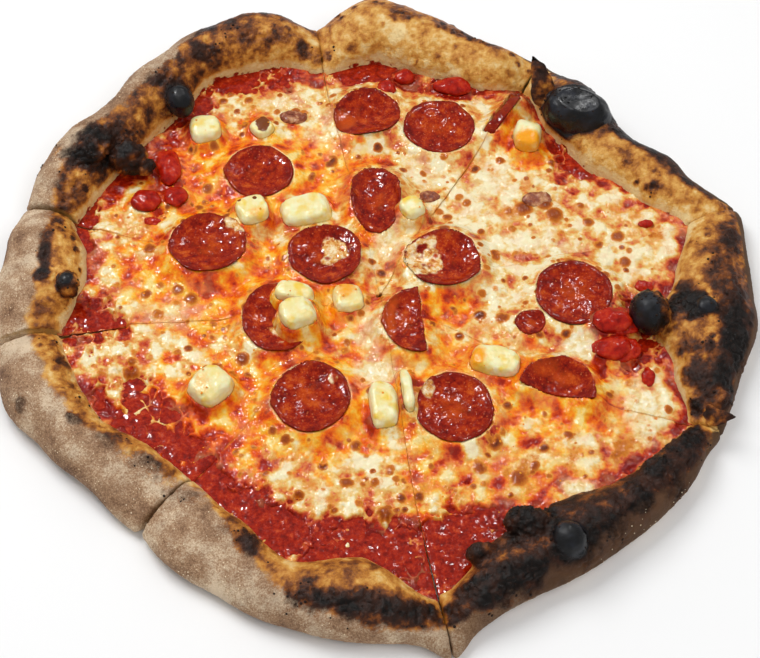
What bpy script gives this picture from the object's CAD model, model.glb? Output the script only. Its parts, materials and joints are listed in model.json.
"""The surfaces of a pepperoni pizza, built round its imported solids.

Each crust, sauce and cheese layer, round of pepperoni, cube of soft cheese and piece of tomato is
made again at a fine grain in the place of its solid, with relief, scorching, oil and gloss.
Tables give lengths in millimetres, in the plane of the table and from the point where the cuts
cross; meshes are in metres. Angles are in degrees, anticlockwise from +X.
"""

import itertools
import json
import math
from typing import NamedTuple

import bmesh
import bpy
import numpy as np
from mathutils import Matrix, Vector
from mathutils.bvhtree import BVHTree
from mathutils.geometry import delaunay_2d_cdt

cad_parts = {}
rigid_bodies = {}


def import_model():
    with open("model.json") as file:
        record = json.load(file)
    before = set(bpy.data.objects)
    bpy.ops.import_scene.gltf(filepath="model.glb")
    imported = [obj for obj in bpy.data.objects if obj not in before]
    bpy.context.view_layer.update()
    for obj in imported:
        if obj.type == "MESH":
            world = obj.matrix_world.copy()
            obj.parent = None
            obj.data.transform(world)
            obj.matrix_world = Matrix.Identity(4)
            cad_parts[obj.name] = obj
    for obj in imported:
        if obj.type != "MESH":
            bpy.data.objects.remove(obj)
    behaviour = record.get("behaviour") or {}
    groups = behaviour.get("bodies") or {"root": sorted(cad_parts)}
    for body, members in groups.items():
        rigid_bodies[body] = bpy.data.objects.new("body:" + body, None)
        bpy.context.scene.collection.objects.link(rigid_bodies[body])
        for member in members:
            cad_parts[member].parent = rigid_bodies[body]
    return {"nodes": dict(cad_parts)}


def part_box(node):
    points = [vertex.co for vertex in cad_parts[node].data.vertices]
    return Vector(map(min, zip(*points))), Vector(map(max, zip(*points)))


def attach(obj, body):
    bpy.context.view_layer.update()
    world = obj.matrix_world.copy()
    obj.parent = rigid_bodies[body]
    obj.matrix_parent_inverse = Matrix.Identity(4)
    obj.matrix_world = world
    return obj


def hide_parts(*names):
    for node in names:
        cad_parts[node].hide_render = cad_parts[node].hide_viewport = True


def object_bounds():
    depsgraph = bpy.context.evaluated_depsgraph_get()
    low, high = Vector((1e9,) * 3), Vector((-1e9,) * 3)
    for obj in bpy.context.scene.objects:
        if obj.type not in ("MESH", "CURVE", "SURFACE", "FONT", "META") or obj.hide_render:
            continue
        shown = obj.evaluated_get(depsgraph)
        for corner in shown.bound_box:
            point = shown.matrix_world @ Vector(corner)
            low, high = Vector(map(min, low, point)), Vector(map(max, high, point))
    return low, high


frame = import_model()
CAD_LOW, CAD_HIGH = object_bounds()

bl_info = {
    "name": "Pepperoni Pizza",
    "version": (1, 0, 0),
    "blender": (4, 5, 0),
    "location": "3D Viewport > Sidebar > Pizza",
    "description": "Builds the surfaces of a sliced pepperoni pizza",
    "category": "Add Mesh",
}

MM = 0.001
CROSSING = np.array((1.9, 0.3))   # where the cuts cross, in the frame of the solids
SLICES = range(1, 9)
INSET = 0.02 * MM                 # how far the surfaces stay inside the box of the solids
SHARP_ANGLE = math.radians(62)    # a solid's edges steeper than this stay sharp when it is rounded
HASH_STEPS = np.array((73856093, 19349663, 83492791))    # large primes that scatter lattice cells
SEED_STEP = 2654435761            # moves the seeds of the noise far apart
STIRS = ((15, 2246822519), (13, 3266489917))    # shifts and factors that mix a number's bits well
WORD = 0xFFFFFFFF                 # a whole number of 32 bits, all ones


class Patch(NamedTuple):
    """A turned ellipse on the pizza: its middle, length and width, turn and strength."""

    place: tuple
    size: tuple
    turn: float = 0.0
    strength: float = 1.0


# Areas where the cheese is missing or thin, so that sauce shows.
BARE_SAUCE = (
    Patch((-66, 129), (40, 17)),
    Patch((-86, 111), (13, 17), 30),
    Patch((-96, 102), (17, 6), 20, 0.8),
    Patch((-4, 134), (44, 14)),
    Patch((-98, 69), (15, 36), 0, 0.9),
    Patch((-133, 42), (9, 26), 0, 0.8),
    Patch((-127, -13), (24, 26)),
    Patch((-118, -46), (16, 14), 0, 0.6),
    Patch((-96, -64), (60, 24), -52),
    Patch((-72, -98), (30, 18), -38),
    Patch((-53, -115), (46, 30), -20),
    Patch((-6, -131), (56, 34)),
    Patch((37, -126), (36, 42), 25),
    Patch((89, 74), (30, 22), -50, 0.6),
    Patch((106, -22), (26, 44), 0, 0.95),
    Patch((34, 123), (26, 12), -10, 0.8),
)

# Pools of orange oil on the cheese.
OIL_POOLS = (
    Patch((69, 80), (22, 14), 0, 0.9),
    Patch((-66, 1), (70, 50), 10),
    Patch((-70, 44), (70, 24), 20, 0.6),
    Patch((-40, 0), (40, 44), 0, 0.9),
    Patch((-28, -54), (74, 66), 0, 0.9),
    Patch((-18, -7), (35, 30), 0, 0.8),
    Patch((29, -7), (26, 18), 0, 0.9),
    Patch((70, -54), (54, 44), -15, 0.8),
    Patch((20, -90), (30, 60), 10, 0.55),
    Patch((-96, 45), (30, 24), 0, 0.6),
    Patch((60, 96), (20, 30), -30, 0.6),
    Patch((10, 30), (30, 50), 0, 0.35),
    Patch((-78, 66), (76, 66), 30, 0.95),
    Patch((-30, 70), (56, 56), 0, 0.75),
    Patch((-92, 10), (56, 44), 0, 0.95),
    Patch((-70, -62), (64, 64), 30, 0.85),
    Patch((-6, 44), (24, 40), 0, 0.7),
    Patch((28, -36), (60, 40), 0, 0.6),
    Patch((98, -52), (40, 50), 0, 0.5),
    Patch((56, -96), (90, 40), 10, 0.5),
)

# Smooth pale pools of the soft cheese, melted flat.
PALE_POOLS = (
    Patch((-2, -41), (14, 14)),
    Patch((-5, -22), (10, 30), 6, 0.5),
    Patch((4, 28), (12, 17), 0, 0.8),
    Patch((-93, -9), (26, 11), 8, 0.55),
    Patch((113, -59), (15, 26), 10, 0.9),
    Patch((88, -28), (16, 12), 0),
    Patch((84, -99), (13, 9), 20),
    Patch((60, 30), (26, 10), 15, 0.5),
    Patch((48, 62), (28, 12), 40, 0.5),
    Patch((78, 28), (24, 10), 0, 0.5),
    Patch((24, 74), (16, 20), 0, 0.4),
    Patch((-24, 96), (14, 22), 0, 0.4),
    Patch((56, -2), (16, 9), -10, 0.4),
    Patch((-40, 115), (14, 12), 0, 0.4),
)

# Scorched places on the rim.
SCORCHES = (
    Patch((92, 99), (34, 24), -20),
    Patch((62, 114), (12, 18), -20, 0.9),
    Patch((-94, 108), (16, 24), 20),
    Patch((-102, 118), (20, 12), 45, 0.75),
    Patch((-131, 75), (36, 24), 30),
    Patch((-116, 73), (18, 18)),
    Patch((-106, 69), (10, 7), 33),
    Patch((-143, 52), (11, 30), -10, 0.6),
    Patch((-64, 146), (32, 10), 5, 0.62),
    Patch((-36, 142), (20, 9), -15, 0.55),
    Patch((-84, 134), (16, 12), 35, 0.65),
    Patch((-149, 18), (7, 34), 4, 0.7),
    Patch((-146, 34), (7, 9), 0, 0.8),
    Patch((-149, 4), (8, 9), 0, 0.8),
    Patch((-138, 0), (11, 12)),
    Patch((-147, -16), (10, 22), 12, 0.5),
    Patch((-134, -46), (9, 44), 22, 0.6),
    Patch((-110, -84), (40, 10), -42, 0.7),
    Patch((-84, -104), (30, 9), -38, 0.7),
    Patch((-56, -128), (26, 10), -42, 0.7),
    Patch((-129, -71), (9, 6), -40, 0.9),
    Patch((-104, -87), (9, 6), -30, 0.9),
    Patch((-96, -92), (14, 6), -35, 0.8),
    Patch((-57, -127), (10, 12), 20, 0.8),
    Patch((-152, -62), (8, 6), -60, 0.9),
    Patch((-10, -157), (56, 12), -4, 0.85),
    Patch((22, -158), (36, 12), 8, 0.8),
    Patch((62, -119), (34, 28), -15),
    Patch((78, -129), (24, 22), 0),
    Patch((42, -132), (13, 11)),
    Patch((50, -147), (40, 16), 22, 0.95),
    Patch((92, -122), (30, 14), 32, 0.85),
    Patch((104, -110), (20, 15), 40),
    Patch((117, -96), (20, 20), 20),
    Patch((128, -80), (26, 16), 50, 0.9),
    Patch((118, -16), (18, 28), 5),
    Patch((133, -10), (22, 26), 0),
    Patch((152, -14), (14, 60), 5, 0.66),
    Patch((140, -46), (18, 30), 20, 0.8),
    Patch((132, -66), (12, 18), 10),
    Patch((155, -34), (12, 40), 15, 0.72),
    Patch((153, 24), (12, 26), -15, 0.6),
    Patch((126, 58), (8, 7), 0, 0.9),
    Patch((10, 154), (13, 8), 0, 0.8),
    Patch((40, 146), (22, 6), -22, 0.5),
)

# Pale, thin dough, stretched over bubbles.
PALE_DOUGH = (
    Patch((4, -147), (22, 9), -20),
    Patch((-30, -139), (20, 6), 5, 0.6),
    Patch((-111, 58), (12, 30), -20),
    Patch((-131, 10), (7, 40), 5, 0.8),
    Patch((136, 40), (24, 18), -40, 0.6),
    Patch((106, 72), (40, 8), -45, 0.4),
    Patch((-20, 132), (24, 6), 0, 0.6),
    Patch((6, 148), (16, 10), 0, 0.6),
    Patch((128, -50), (12, 20), 10, 0.5),
)

# Blisters of dough that burnt smooth and black.
BURNT_BULBS = (
    Patch((92, 99), (33, 23), -18),
    Patch((-94, 106), (13, 18), 14),
    Patch((77, -129), (13, 14)),
    Patch((115, -17), (12, 20), 10),
    Patch((142, -14), (8, 8)),
    Patch((-138, 0), (5, 6)),
    Patch((62, 112), (10, 16), -20),
)

# Flakes of dough torn up at the rim: foot, tip, how far the tip rises, width and how baked.
TORN_TIPS = (
    ((77, 106), (73, 125), 15, 16, 0.6),
    ((137, -62), (150, -70), 4, 12, 0.6),
)

# Melted cheese lying over the pepperoni.
CHEESE_VEILS = (
    Patch((-21, 22), (13, 12)),
    Patch((19, 17), (16, 19)),
    Patch((-64, 37), (16, 9), -40),
    Patch((-43, -20), (10, 14), 0, 0.8),
    Patch((20, -50), (6, 20), 10, 0.7),
    Patch((-20, -46), (4, 6), 0, 0.7),
)

# Orange-brown, oily parts of the pepperoni.
PEPPERONI_OIL = (
    Patch((3, -13), (9, 34), 0),
    Patch((-17, 99), (12, 12)),
    Patch((64, 106), (8, 12), -40, 0.6),
    Patch((72, -42), (12, 8), 0, 0.5),
)

# Orange oil and browning on the cubes of soft cheese.
CUBE_STAINS = (
    Patch((69, 84), (12, 9)),
    Patch((-15, 1), (8, 12), 0, 0.8),
    Patch((42, -37), (7, 9)),
    Patch((-76, -52), (8, 10), 0, 0.5),
    Patch((-56, 40), (10, 6), 0, 0.5),
)
CUBE_SCORCHES = (
    Patch((-55, 96), (7, 10)),
    Patch((-64, 47), (2, 2)),
    Patch((-57, 48), (2, 2)),
)

# Small bits of tomato lying on the cheese: place, width, depth and height.
TOMATO_BITS = (
    (117.7, 4.6, 8, 6, 3), (115.8, -43.8, 6, 10, 3), (120.8, 40.6, 7, 3, 2), (104, -17, 22, 15, 6),
    (103, -30, 22, 14, 6), (-104, 42, 8, 5, 3),
)

# Small browned bits of pepperoni, given in the same way.
PEPPERONI_BITS = ((72.4, 55.1, 13, 8, 3), (22.9, 56.2, 10, 6, 3), (-41.1, 104.5, 12, 8, 3))

# Cheese browned all over.
TOASTED_CHEESE = (
    Patch((66, -92), (66, 34), 28, 0.42),
    Patch((102, -76), (34, 24), 40, 0.42),
    Patch((18, -98), (50, 18), 5, 0.3),
    Patch((-40, -94), (50, 20), -15, 0.3),
    Patch((118, 42), (44, 22), -50, 0.32),
    Patch((122, 4), (26, 34), 0, 0.3),
    Patch((66, 50), (40, 20), 10, 0.25),
    Patch((-104, 26), (22, 20), 0, 0.25),
    Patch((-62, 112), (40, 16), 15, 0.25),
    Patch((50, 110), (40, 14), -25, 0.3),
    Patch((50, -16), (34, 18), 0, 0.25),
)

# Brown blisters on the cheese, with their width.
CHEESE_BLISTERS = (
    (48, -77, 8), (58, -94, 9), (42, -89, 7), (2, -111, 8), (-49, -91, 6), (-57, -98, 6),
    (96, -82, 5), (80, -73, 5), (69, -79, 4), (65, -88, 5), (-60, -34, 7), (-62, -80, 6),
    (-104, 26, 6), (-82, 41, 5), (-80, 61, 6), (-83, 49, 5), (-90, 3, 6), (-84, -2, 7),
    (-98, -10, 6), (-86, -13, 5), (-108, -40, 8), (-113, -61, 8), (-104, 1, 5), (-70, -38, 5),
    (-40, 108, 5), (-64, 99, 5), (-23, 78, 7), (-31, 67, 6), (-20, 108, 6), (66, 50, 9),
    (80, 46, 9), (76, 52, 7), (40, 53, 5), (46, 36, 4), (52, 24, 5), (62, 23, 6), (70, 22, 5),
    (85, 15, 7), (56, 78, 5), (44, 73, 5), (95, 42, 6), (108, 34, 7), (20, 70, 4), (31, 45, 5),
    (29, 34, 6), (36, 26, 5), (54, -13, 7), (44, -11, 6), (100, 8, 6), (110, 18, 6), (-14, -96, 6),
    (-34, -102, 6), (16, -103, 5), (30, -100, 5), (-10, -78, 6), (-24, -88, 5), (-40, -76, 5),
)


def mm(points):
    """Places in the plane of the table, in millimetres from the crossing."""
    return points[:, :2] / MM - CROSSING


def ease(share):
    """A smooth rise from 0 to 1."""
    share = np.clip(share, 0.0, 1.0)
    return share * share * (3.0 - 2.0 * share)


def scrambled(mix, *factors):
    """Whole numbers with their bits mixed, once for each shift and factor."""
    for shift, factor in factors:
        mix = ((mix ^ (mix >> shift)) * factor) & WORD
    return mix


def lattice_noise(points, seed):
    """Gradient noise from about -1 to 1, one feature to a unit, at points in three dimensions."""
    cell = np.floor(points).astype(np.int64)
    inside = points - cell
    blend = inside**3 * (inside * (inside * 6.0 - 15.0) + 10.0)
    total = np.zeros(len(points))
    for corner in itertools.product((0, 1), repeat=3):
        key = (cell + corner) * HASH_STEPS
        mix = (key[:, 0] ^ key[:, 1] ^ key[:, 2] ^ (seed * SEED_STEP)) & WORD
        mix = scrambled(mix, *STIRS)
        slope = 0.0
        for axis in range(3):
            steep = ((mix >> (10 * axis)) & 1023) / 511.5 - 1.0
            slope = slope + steep * (inside[:, axis] - corner[axis])
        weight = np.where(np.array(corner) == 1, blend, 1.0 - blend).prod(axis=1)
        total += slope * weight
    return total * 1.6


def clouds(points, size, seed, octaves=3, rough=0.5):
    """Layered noise from about -1 to 1, its largest features as wide as size."""
    if points.shape[1] == 2:
        points = np.column_stack((points, np.zeros(len(points))))
    total = np.zeros(len(points))
    strength = 1.0
    for octave in range(octaves):
        total += strength * lattice_noise(points / size * 2.0**octave + 17.3 * octave, seed + octave)
        strength *= rough
    return total


def ridges(points, size, seed, octaves=3):
    """Sharp creases between rounded lumps, 1 on a lump and 0 in a crease."""
    return np.clip(np.abs(clouds(points, size, seed, octaves)) * 2.2, 0.0, 1.0)


def near_points(flat, size, seed):
    """Distances to the nearest two of some scattered points, one to a square of that size."""
    scaled = flat / size
    home = np.floor(scaled).astype(np.int64)
    first, second = np.full((2, len(flat)), 9.0)
    for offset in itertools.product((-1, 0, 1), repeat=2):
        cell = home + offset
        key = np.column_stack((cell, np.full(len(cell), seed))) * HASH_STEPS
        mix = scrambled((key[:, 0] ^ key[:, 1] ^ key[:, 2]) & WORD, STIRS[0])
        place = cell + np.column_stack((mix & 65535, (mix >> 16) & 65535)) / 65536.0
        away = np.hypot(*(place - scaled).T)
        second = np.minimum(second, np.maximum(first, away))
        first = np.minimum(first, away)
    return first * size, second * size


def nearest_cell(flat, size, seed):
    """Distance to the nearest of some scattered points."""
    return near_points(flat, size, seed)[0]


def cell_walls(flat, size, seed):
    """1 on the walls between uneven cells and 0 inside them."""
    warp = np.column_stack((clouds(flat, size, seed + 1, 2), clouds(flat, size, seed + 2, 2)))
    first, second = near_points(flat + 0.25 * size * warp, size, seed)
    return ease(1.0 - (second - first) / (0.28 * size))


def patches(flat, table, ragged, soft, seed):
    """How strongly each place lies in any patch of a table, with ragged, soft edges."""
    wobble = ragged * clouds(flat, 9.0, seed, 4, 0.6)
    best = np.zeros(len(flat))
    for patch in table:
        turn = math.radians(patch.turn)
        x, y = (flat - patch.place).T
        along = (x * math.cos(turn) + y * math.sin(turn)) / (patch.size[0] / 2)
        across = (y * math.cos(turn) - x * math.sin(turn)) / (patch.size[1] / 2)
        inside = (1.0 - np.hypot(along, across) + wobble) / soft + 0.5
        best = np.maximum(best, patch.strength * ease(inside))
    return best


def joined_copy(node):
    """A CAD node's mesh with its loose triangles joined."""
    bm = bmesh.new()
    bm.from_mesh(frame["nodes"][node].data)
    bmesh.ops.remove_doubles(bm, verts=bm.verts, dist=1e-6)
    crease = bm.edges.layers.float.new("crease_edge")
    for edge in bm.edges:
        edge[crease] = float(edge.calc_face_angle(0.0) > SHARP_ANGLE)
    return mesh_of(bm, node)


def blank_object(mesh):
    """A passing object that holds a mesh while modifiers work on it."""
    blank = bpy.data.objects.new("blank", mesh)
    bpy.context.scene.collection.objects.link(blank)
    return blank


def plain_mesh(blank):
    """The mesh that an object's modifiers make; the object is removed."""
    depsgraph = bpy.context.evaluated_depsgraph_get()
    result = bpy.data.meshes.new_from_object(blank.evaluated_get(depsgraph))
    bpy.data.objects.remove(blank)
    return result


def modified(mesh, *steps):
    """The mesh after modifiers, each given as a type and its settings."""
    blank = blank_object(mesh)
    for kind, settings in steps:
        modifier = blank.modifiers.new(kind, kind)
        for name, value in settings.items():
            setattr(modifier, name, value)
    return plain_mesh(blank)


def even_mesh(node, grain, smooth, levels=2):
    """A node's form, rounded and covered evenly with small faces."""
    return modified(
        joined_copy(node),
        ("SUBSURF", {"levels": levels, "render_levels": levels}),
        ("REMESH", {"mode": "VOXEL", "voxel_size": grain}),
        ("SMOOTH", {"factor": 0.5, "iterations": smooth}),
    )


def read_points(mesh, what):
    """One vector for each of a mesh's points, in rows."""
    values = np.empty(len(mesh.vertices) * 3)
    mesh.vertices.foreach_get(what, values)
    return values.reshape(-1, 3)


def points_of(mesh):
    return read_points(mesh, "co")


def normals_of(mesh):
    return read_points(mesh, "normal")


def set_points(mesh, points):
    """Moves a mesh's points, and keeps them within the box of the solids."""
    low = np.array(CAD_LOW) + (INSET, INSET, 0.0)
    high = np.array(CAD_HIGH) - INSET
    mesh.vertices.foreach_set("co", np.clip(points, low, high).ravel())
    mesh.update()


def swollen(mesh, swell):
    """Moves a mesh's points along their normals, by millimetres."""
    set_points(mesh, points_of(mesh) + normals_of(mesh) * swell[:, None] * MM)


def mesh_of(bm, name):
    """A new mesh from a bmesh, which is freed."""
    mesh = bpy.data.meshes.new(name)
    bm.to_mesh(mesh)
    bm.free()
    return mesh


def paint(mesh, **layers):
    """Stores named values from 0 to 1 on a mesh's points, for its material to read."""
    for name, values in layers.items():
        layer = mesh.attributes.new(name, "FLOAT", "POINT")
        layer.data.foreach_set("value", np.clip(values, 0.0, 1.0).astype(np.float32))


def tree_of(mesh):
    """A mesh's faces, sorted for finding the nearest and for casting rays."""
    bm = bmesh.new()
    bm.from_mesh(mesh)
    tree = BVHTree.FromBMesh(bm)
    bm.free()
    return tree


def add_piece(name, mesh, material, slot, *nodes):
    """Puts a finished mesh on the pizza, in the place of some of its solids."""
    mesh.name = name
    mesh.materials.clear()
    mesh.materials.append(material)
    mesh.shade_smooth()
    piece = bpy.data.objects.new(name, mesh)
    bpy.context.scene.collection.objects.link(piece)
    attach(piece, "root")
    if nodes:
        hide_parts(*nodes)
    return piece


# Outlines of the layers


def plan_outline(node):
    """The outline of a layer's flat underside, anticlockwise, in millimetres from the crossing."""
    mesh = joined_copy(node)
    points = points_of(mesh)
    low = points[:, 2] < points[:, 2].min() + 1e-6
    sides = {}
    for polygon in mesh.polygons:
        corners = list(polygon.vertices)
        if low[corners].all():
            sides |= dict.fromkeys(zip(corners[1:] + corners[:1], corners))
    border = {start: end for start, end in sides if (end, start) not in sides}
    loop = [next(iter(border))]
    while border[loop[-1]] != loop[0]:
        loop.append(border[loop[-1]])
    bpy.data.meshes.remove(mesh)
    return mm(points[loop])


def polar(flat, start=0.0):
    """Directions in degrees, from start up to a turn more, and distances from the crossing."""
    angle = np.degrees(np.arctan2(flat[:, 1], flat[:, 0]))
    return (angle - start) % 360.0 + start, np.hypot(flat[:, 0], flat[:, 1])


def outer_arc(outline):
    """Which points of a slice's outline lie on its outer arc."""
    middle = outline.mean(axis=0)
    start = math.degrees(math.atan2(middle[1], middle[0])) - 180.0
    angle, radius = polar(outline, start)
    close = np.abs(angle[:, None] - angle[None, :]) < 1.3
    beaten = (close & (radius[None, :] > radius[:, None] + 1.0)).any(axis=1)
    return (radius > 90.0) & ~beaten, angle, radius, start


def arc_radius(outline, flat):
    """Radius of a slice's outer arc in the direction of each place."""
    outer, angle, radius, start = outer_arc(outline)
    order = np.argsort(angle[outer])
    turned, _ = polar(flat, start)
    return np.interp(turned, angle[outer][order], radius[outer][order])


def grown_outline(outline, outwards, sideways):
    """A slice's outline moved out past its arc, and sideways into the gaps of the cuts."""
    outer, _, radius, _ = outer_arc(outline)
    after = np.roll(outline, -1, axis=0)
    before = np.roll(outline, 1, axis=0)
    tangent = after - before
    normal = np.column_stack((tangent[:, 1], -tangent[:, 0]))
    normal /= np.hypot(normal[:, 0], normal[:, 1])[:, None]
    radial = outline / radius[:, None]
    moved = outline + np.where(outer[:, None], radial * outwards, normal * sideways)
    corner = outer & ~(np.roll(outer, 1) & np.roll(outer, -1))
    moved[corner] += normal[corner] * sideways
    return moved


def cut_distance(outline, flat):
    """How far each place lies from the cuts along a slice's two sides."""
    outer = outer_arc(outline)[0]
    best = np.full(len(flat), 1e3)
    for index in range(len(outline)):
        after = (index + 1) % len(outline)
        if outer[index] and outer[after]:
            continue
        start, run = outline[index], outline[after] - outline[index]
        share = np.clip(((flat - start) @ run) / (run @ run), 0.0, 1.0)
        best = np.minimum(best, np.hypot(*(flat - start - share[:, None] * run).T))
    return best


def inside_outline(outline, flat):
    """Which places lie inside a closed outline."""
    inside = np.zeros(len(flat), bool)
    x, y = flat.T
    for (x1, y1), (x2, y2) in zip(outline, np.roll(outline, -1, axis=0)):
        if y1 != y2:
            crossed = (y1 > y) != (y2 > y)
            inside ^= crossed & (x < (x2 - x1) * (y - y1) / (y2 - y1) + x1)
    return inside


def sheet_mesh(name, outline, grain, floor, top_of):
    """A closed sheet over an outline: fine and uneven on top, with a flat underside.

    top_of gives heights for places in millimetres. Returns the mesh and how many points are on top.
    """
    border = []
    for start, end in zip(outline, np.roll(outline, -1, axis=0)):
        count = max(1, round(math.dist(start, end) / grain))
        border += [start + (end - start) * step / count for step in range(count)]
    border = np.array(border)
    low, high = border.min(axis=0), border.max(axis=0)
    rows = []
    for row, y in enumerate(np.arange(low[1], high[1], grain * math.sqrt(3) / 2)):
        across = np.arange(low[0] + (row % 2) * grain / 2, high[0], grain)
        rows.append(np.column_stack((across, np.full(len(across), y))))
    inner = np.concatenate(rows)
    inner = inner[inside_outline(outline, inner)]
    spots = [Vector(place) for place in np.concatenate((border, inner))]
    edges = [(index, (index + 1) % len(border)) for index in range(len(border))]
    verts, _, faces, sources, *_ = delaunay_2d_cdt(spots, edges, [], 1, 1e-6, True)
    flat = np.array(verts)
    faces = np.array(faces)
    loop = np.zeros(len(border), int)
    for vertex, origins in enumerate(sources):
        for origin in origins:
            if origin < len(border):
                loop[origin] = vertex
    count = len(flat)
    onward = loop * count + np.roll(loop, -1)
    backward = np.roll(loop, -1) * count + loop
    sides = faces * count + np.roll(faces, -1, axis=1)
    inside = inside_outline(outline, flat[faces].mean(axis=1))
    inside |= np.isin(sides, onward).any(axis=1)
    inside &= ~np.isin(sides, backward).any(axis=1)
    faces = faces[inside]
    top = np.column_stack(((flat + CROSSING) * MM, top_of(flat)))
    under = np.column_stack(((border + CROSSING) * MM, np.full(len(border), floor)))
    below = np.arange(len(border)) + len(top)
    walls = np.column_stack((np.roll(loop, -1), loop, below, np.roll(below, -1)))
    mesh = bpy.data.meshes.new(name)
    shell = faces.tolist() + walls.tolist() + [below[::-1].tolist()]
    mesh.from_pydata(np.concatenate((top, under)).tolist(), [], shell)
    bm = bmesh.new()
    bm.from_mesh(mesh)
    # A sliver that no other face meets would leave an open edge.
    stray = {face for edge in bm.edges if edge.is_boundary for face in edge.link_faces}
    bmesh.ops.delete(bm, geom=list(stray), context="FACES")
    bm.to_mesh(mesh)
    bm.free()
    set_points(mesh, points_of(mesh))
    return mesh, len(top)


# Materials


class Nodes:
    """Builds one material's node tree, a node or a short chain at a time."""

    def __init__(self, name):
        self.material = bpy.data.materials.new(name)
        self.material.use_nodes = True
        self.tree = self.material.node_tree
        self.shader = self.tree.nodes["Principled BSDF"]
        self.place = self.tree.nodes.new("ShaderNodeTexCoord").outputs["Object"]

    def join(self, source, socket):
        """Feeds a socket from another node's output or with a fixed value."""
        if hasattr(source, "is_output"):
            self.tree.links.new(source, socket)
        else:
            socket.default_value = source

    def value(self, name):
        """A value painted on the mesh's points."""
        node = self.tree.nodes.new("ShaderNodeAttribute")
        node.attribute_name = name
        return node.outputs["Fac"]

    def noise(self, size_mm, detail=3.0, rough=0.55, warp=0.0):
        """Clouded noise from 0 to 1, its largest features of a size in millimetres."""
        node = self.tree.nodes.new("ShaderNodeTexNoise")
        self.tree.links.new(self.place, node.inputs["Vector"])
        node.inputs["Scale"].default_value = 1.0 / (size_mm * MM)
        node.inputs["Detail"].default_value = detail
        node.inputs["Roughness"].default_value = rough
        node.inputs["Distortion"].default_value = warp
        return node.outputs["Fac"]

    def cells(self, size_mm):
        """Distance to the nearest of some scattered points, in parts of their spacing."""
        node = self.tree.nodes.new("ShaderNodeTexVoronoi")
        self.tree.links.new(self.place, node.inputs["Vector"])
        node.inputs["Scale"].default_value = 1.0 / (size_mm * MM)
        return node.outputs["Distance"]

    def math(self, operation, first, second):
        node = self.tree.nodes.new("ShaderNodeMath")
        node.operation = operation
        self.join(first, node.inputs[0])
        self.join(second, node.inputs[1])
        return node.outputs[0]

    def part(self, name, share):
        """A painted value, weakened."""
        return self.math("MULTIPLY", self.value(name), share)

    def ramp(self, source, low, high, start=0.0, end=1.0):
        """start below low, end above high, and a smooth change between them."""
        node = self.tree.nodes.new("ShaderNodeMapRange")
        node.interpolation_type = "SMOOTHSTEP"
        self.join(source, node.inputs["Value"])
        for name, number in (("From Min", low), ("From Max", high), ("To Min", start), ("To Max", end)):
            node.inputs[name].default_value = number
        return node.outputs["Result"]

    def spectrum(self, source, *stops):
        """A colour from a value, each stop a place from 0 to 1 and a screen colour."""
        node = self.tree.nodes.new("ShaderNodeValToRGB")
        self.join(source, node.inputs["Fac"])
        elements = node.color_ramp.elements
        for place, colour in stops[1:-1]:
            elements.new(place).color = linear(colour)
        for element, (place, colour) in ((elements[0], stops[0]), (elements[-1], stops[-1])):
            element.position = place
            element.color = linear(colour)
        return node.outputs["Color"]

    def shaken(self, share, *noises):
        """A value moved up and down by noises, each with its amount."""
        for noise, amount in noises:
            change = self.math("MULTIPLY", self.math("SUBTRACT", noise, 0.5), amount)
            share = self.math("ADD", share, change)
        return share

    def mix(self, share, first, second):
        """A blend of two colours, each another node's or a screen colour."""
        node = self.tree.nodes.new("ShaderNodeMix")
        node.data_type = "RGBA"
        self.join(share, node.inputs[0])
        for source, socket in ((first, node.inputs[6]), (second, node.inputs[7])):
            self.join(source if hasattr(source, "is_output") else linear(source), socket)
        return node.outputs[2]

    def uneven(self, share, noise, amount, low=0.35, high=0.65):
        """A painted value whose edges are broken up by noise."""
        return self.ramp(self.shaken(share, (noise, amount)), low, high)

    def finish(self, colour, roughness, heights, **constants):
        """Sets the colour, the roughness, fine relief in millimetres and the fixed values."""
        self.join(colour, self.shader.inputs["Base Color"])
        self.join(roughness, self.shader.inputs["Roughness"])
        normal = None
        for height, depth_mm in heights:
            bump = self.tree.nodes.new("ShaderNodeBump")
            bump.inputs["Distance"].default_value = depth_mm * MM
            self.tree.links.new(height, bump.inputs["Height"])
            if normal is not None:
                self.tree.links.new(normal, bump.inputs["Normal"])
            normal = bump.outputs["Normal"]
        if normal is not None:
            self.tree.links.new(normal, self.shader.inputs["Normal"])
        for name, number in constants.items():
            self.shader.inputs[name.replace("_", " ")].default_value = number
        return self.material


def linear(colour):
    """A screen colour as the shader's linear one, opaque."""
    shades = (c / 12.92 if c <= 0.04045 else ((c + 0.055) / 1.055) ** 2.4 for c in colour)
    return (*shades, 1.0)


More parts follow.
